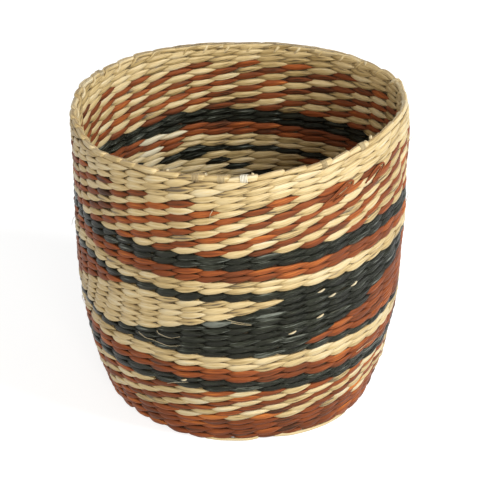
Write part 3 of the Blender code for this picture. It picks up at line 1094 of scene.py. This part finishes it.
# How strongly the fibres show in the tone
BROAD_STREAKS = 1.0
FINE_STREAKS = 1.2
BUMP_STRENGTH = 0.8
SHEEN_ROUGHNESS = 0.4


def link(tree, start, end):
    tree.links.new(start, end)


def math_node(tree, operation, *values):
    """Output of a math node, whose inputs are numbers or outputs of other nodes."""
    node = tree.nodes.new("ShaderNodeMath")
    node.operation = operation
    for socket, value in zip(node.inputs, values):
        if isinstance(value, (int, float)):
            socket.default_value = value
        else:
            link(tree, value, socket)
    return node.outputs[0]


def set_inputs(node, values):
    for name, value in values.items():
        node.inputs[name].default_value = value


def edge_shade(tree, grain):
    """1 along a strand's two edges, 0 on its faces: the mask of painted shade in the grooves."""
    parts = tree.nodes.new("ShaderNodeSeparateXYZ")
    link(tree, grain, parts.inputs[0])
    wave = math_node(tree, "COSINE", math_node(tree, "MULTIPLY", parts.outputs["Y"], 4 * math.pi))
    return math_node(tree, "POWER", math_node(tree, "MULTIPLY_ADD", wave, 0.5, 0.5), EDGE_POWER)


def grass_material(name, tones, roughness, specular, bump, streaks, sheen, shine):
    """Dried grass: fibres along the strand, tones that change from leaf to leaf, painted shade on
    its edges.
    """
    material = bpy.data.materials.new(name)
    material.use_nodes = True
    tree = material.node_tree
    nodes = tree.nodes
    shader = nodes["Principled BSDF"]
    grain = nodes.new("ShaderNodeAttribute")
    grain.attribute_name = "grain"
    tone = nodes.new("ShaderNodeAttribute")
    tone.attribute_name = "tone"

    def fibres(along, across, detail):
        """Noise drawn out along the strand."""
        place = nodes.new("ShaderNodeMapping")
        place.inputs["Scale"].default_value = (along, across, FIBRE_CHANGE)
        noise = nodes.new("ShaderNodeTexNoise")
        set_inputs(noise, {"Scale": 1.0, "Detail": detail, "Roughness": FIBRE_ROUGHNESS})
        link(tree, grain.outputs["Vector"], place.inputs["Vector"])
        link(tree, place.outputs["Vector"], noise.inputs["Vector"])
        return noise.outputs["Fac"]

    def streaked(value, noise, factor):
        """The value made lighter and darker by a noise that is about a half on average."""
        scaled = math_node(tree, "MULTIPLY_ADD", noise, factor, value)
        return math_node(tree, "ADD", scaled, -factor / 2)

    broad = fibres(*BROAD_FIBRES)
    fine = fibres(*FINE_FIBRES)
    blend = streaked(tone.outputs["Fac"], broad, BROAD_STREAKS * streaks)
    blend = streaked(blend, fine, FINE_STREAKS * streaks)
    ramp = nodes.new("ShaderNodeValToRGB")
    ramp.color_ramp.elements.remove(ramp.color_ramp.elements[1])
    for index, (position, colour) in enumerate(tones):
        elements = ramp.color_ramp.elements
        element = elements[0] if index == 0 else elements.new(position)
        element.position = position
        element.color = (*colour, 1)
    link(tree, blend, ramp.inputs["Fac"])
    # Painted shade: the colour is darkened along the strand's edges, for the grooves between strands
    darker = nodes.new("ShaderNodeMix")
    darker.data_type = "RGBA"
    darker.blend_type = "MULTIPLY"
    darker.inputs["B"].default_value = (*EDGE_PAINTED_SHADE, 1)
    link(tree, edge_shade(tree, grain.outputs["Vector"]), darker.inputs["Factor"])
    link(tree, ramp.outputs["Color"], darker.inputs["A"])
    link(tree, darker.outputs["Result"], shader.inputs["Base Color"])
    height = nodes.new("ShaderNodeBump")
    set_inputs(height, {"Strength": BUMP_STRENGTH, "Distance": bump})
    link(tree, math_node(tree, "ADD", broad, fine), height.inputs["Height"])
    link(tree, height.outputs["Normal"], shader.inputs["Normal"])
    set_inputs(shader, {"Roughness": roughness, "Specular IOR Level": specular})
    set_inputs(shader, {"Sheen Weight": sheen, "Sheen Roughness": SHEEN_ROUGHNESS})
    set_inputs(shader, {"Specular Tint": (*shine, 1)})
    return material


NATURAL_TONES = (
    (0.0, (0.09, 0.058, 0.024)),
    (0.1, (0.35, 0.235, 0.085)),
    (0.3, (0.50, 0.358, 0.152)),
    (0.6, (0.635, 0.487, 0.25)),
    (0.95, (0.68, 0.59, 0.40)),
)
RUST_TONES = (
    (0.0, (0.04, 0.013, 0.005)),
    (0.1, (0.12, 0.034, 0.012)),
    (0.4, (0.19, 0.044, 0.012)),
    (0.65, (0.30, 0.076, 0.019)),
    (0.95, (0.52, 0.160, 0.033)),
)
# Charcoal: the top stop is partly pale scratches in the grass and partly painted highlight, glints
# of gloss on the black leaves
BLACK_TONES = (
    (0.0, (0.001, 0.001, 0.0006)),
    (0.15, (0.003, 0.003, 0.002)),
    (0.5, (0.006, 0.0065, 0.004)),
    (0.85, (0.022, 0.025, 0.016)),
    (1.0, (0.16, 0.17, 0.145)),
)
# Stakes are kept dark as painted shade, so that the notches between leaves, where they show, read
# dark
STAKE_PAINTED_SHADE_TONES = (
    (0.1, (0.045, 0.030, 0.013)),
    (0.8, (0.10, 0.075, 0.035)),
)
THREAD_TONES = (
    (0.1, (0.36, 0.26, 0.13)),
    (0.5, (0.58, 0.46, 0.26)),
    (1.0, (0.86, 0.82, 0.70)),
)
# Name, tones, roughness, specular level, bump, streaks, sheen and tint of the shine
GRASSES = (
    ("natural_seagrass_strand", NATURAL_TONES, 0.45, 0.55, 0.0008, 1.0, 0.04, (1, 1, 1)),
    ("rust_seagrass_strand", RUST_TONES, 0.5, 0.2, 0.0008, 1.0, 0.04, (1, 0.9, 0.7)),
    ("charcoal_seagrass_strand", BLACK_TONES, 0.29, 0.24, 0.0016, 2.0, 0, (0.98, 1, 0.80)),
    ("stake_grass_strand", STAKE_PAINTED_SHADE_TONES, 0.6, 0.3, 0.0004, 1.0, 0.04, (1, 1, 1)),
    ("wrap_thread", THREAD_TONES, 0.6, 0.3, 0.0001, 1.0, 0.04, (1, 1, 1)),
)


# Stage: camera, floor and lamps


CAMERA_ELEVATION = math.radians(27.16)
CAMERA_DISTANCE = 1.68
FOCAL_PIXELS = 2270
IMAGE_PIXELS = 480
SENSOR_WIDTH = 36
CAMERA_SHIFT = 0.0044


def add_camera():
    camera = new_object("camera", bpy.data.cameras.new("camera"))
    away = CAMERA_DISTANCE * math.cos(CAMERA_ELEVATION)
    up = CAMERA_DISTANCE * math.sin(CAMERA_ELEVATION)
    camera.location = (0, -away, HEIGHT / 2 + up)
    camera.rotation_euler = (math.pi / 2 - CAMERA_ELEVATION, 0, 0)
    camera.data.sensor_width = SENSOR_WIDTH
    camera.data.lens = FOCAL_PIXELS / IMAGE_PIXELS * SENSOR_WIDTH
    camera.data.shift_y = CAMERA_SHIFT
    bpy.context.scene.camera = camera


def pale_surface(owner, output, shader, values, glow):
    """A plain shader, with more light that only the camera and reflections see."""
    owner.use_nodes = True
    tree = owner.node_tree
    nodes = tree.nodes
    nodes.clear()
    base = nodes.new(shader)
    set_inputs(base, values)
    path = nodes.new("ShaderNodeLightPath").outputs
    seen = math_node(tree, "MAXIMUM", path["Is Camera Ray"], path["Is Glossy Ray"])
    seen = math_node(tree, "MAXIMUM", seen, path["Is Transmission Ray"])
    light = nodes.new("ShaderNodeEmission")
    link(tree, math_node(tree, "MULTIPLY", seen, glow), light.inputs["Strength"])
    both = nodes.new("ShaderNodeAddShader")
    link(tree, base.outputs[0], both.inputs[0])
    link(tree, light.outputs[0], both.inputs[1])
    link(tree, both.outputs[0], nodes.new(output).inputs["Surface"])


FLOOR_SIZE = 6.0
FLOOR_GREY = 0.5
FLOOR_GLOW = 0.75


def add_floor():
    mesh = bpy.data.meshes.new("floor")
    half = FLOOR_SIZE / 2
    corners = [(-half, -half, 0), (half, -half, 0), (half, half, 0), (-half, half, 0)]
    mesh.from_pydata(corners, [], [(0, 1, 2, 3)])
    floor = new_object("floor", mesh)
    material = bpy.data.materials.new("pale_floor")
    matt = {"Color": (FLOOR_GREY, FLOOR_GREY, FLOOR_GREY, 1)}
    pale_surface(material, "ShaderNodeOutputMaterial", "ShaderNodeBsdfDiffuse", matt, FLOOR_GLOW)
    mesh.materials.append(material)


def add_lamp(name, place, size, power, colour):
    lamp = bpy.data.lights.new(name, "AREA")
    lamp.shape = "DISK"
    lamp.size = size
    lamp.energy = power
    lamp.color = colour
    holder = new_object(name, lamp)
    holder.location = place
    aim = Vector((0, 0, HEIGHT / 2)) - Vector(place)
    holder.rotation_euler = aim.to_track_quat("-Z", "Y").to_euler()


WORLD_LIGHT = 0.32
# Name, place, size, power and colour
LAMPS = (
    ("key_lamp", (1.6, -1.0, 1.7), 0.7, 59, (0.95, 0.985, 1.0)),
    ("front_lamp", (0.35, -2.2, 0.75), 0.9, 22.5, (1, 0.97, 0.87)),
    ("fill_lamp", (-1.6, -1.2, 1.1), 1.4, 10.2, (1, 0.965, 0.92)),
)


def add_light():
    for lamp in LAMPS:
        add_lamp(*lamp)
    world = bpy.data.worlds.new("studio")
    bpy.context.scene.world = world
    room = {"Color": (1, 1, 1, 1), "Strength": WORLD_LIGHT}
    pale_surface(world, "ShaderNodeOutputWorld", "ShaderNodeBackground", room, 1 - WORLD_LIGHT)


def build():
    add_camera()
    add_floor()
    add_light()
    natural, rust, black, pith, thread = (grass_material(*grass) for grass in GRASSES)
    grasses = [natural, rust, black]
    courses = all_courses()
    add_weft(courses, grasses)
    add_stakes(courses, pith)
    add_border(courses, natural, thread)
    add_details(grasses)
    add_hub(grasses)


build()
bpy.context.scene.view_settings.view_transform = "Standard"
